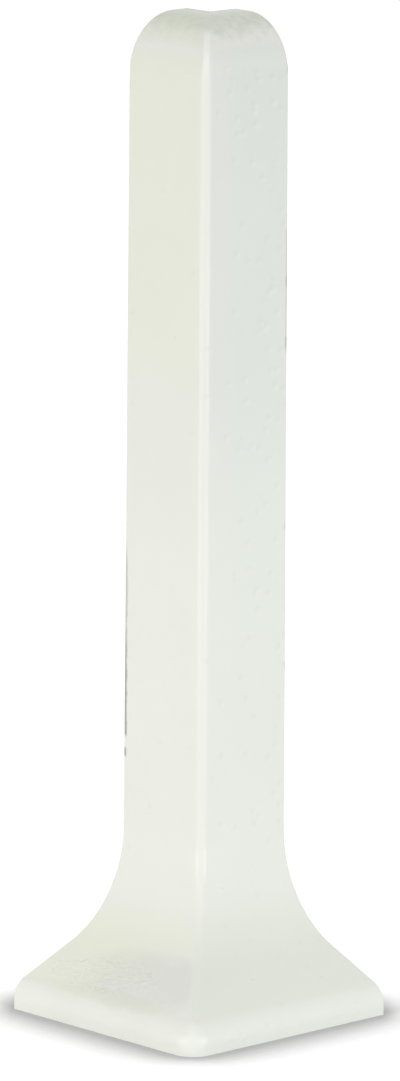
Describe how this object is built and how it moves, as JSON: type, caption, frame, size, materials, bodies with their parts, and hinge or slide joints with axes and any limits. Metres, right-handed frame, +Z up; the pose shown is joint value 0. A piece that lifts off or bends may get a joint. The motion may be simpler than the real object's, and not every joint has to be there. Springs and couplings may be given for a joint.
{
  "type": "skirting corner cap",
  "caption": "Hollow outside-corner cap for coved skirting boards, with a rounded top, a mitred ridge and a flared foot with a rounded toe.",
  "frame": {"origin": "floor level, on the line of the wall's outside corner that the cap goes round", "axes": "+Z up, along the wall's corner; one wing runs towards -X and faces -Y, the other runs towards +Y and faces +X; the wall fills the quarter with X below 0 and Y above 0"},
  "size_m": [0.0266, 0.0266, 0.1],
  "materials": {
    "white_paint": "satin"
  },
  "bodies": {
    "root": {"corner_cap": "white_paint"}
  },
  "joints": []
}
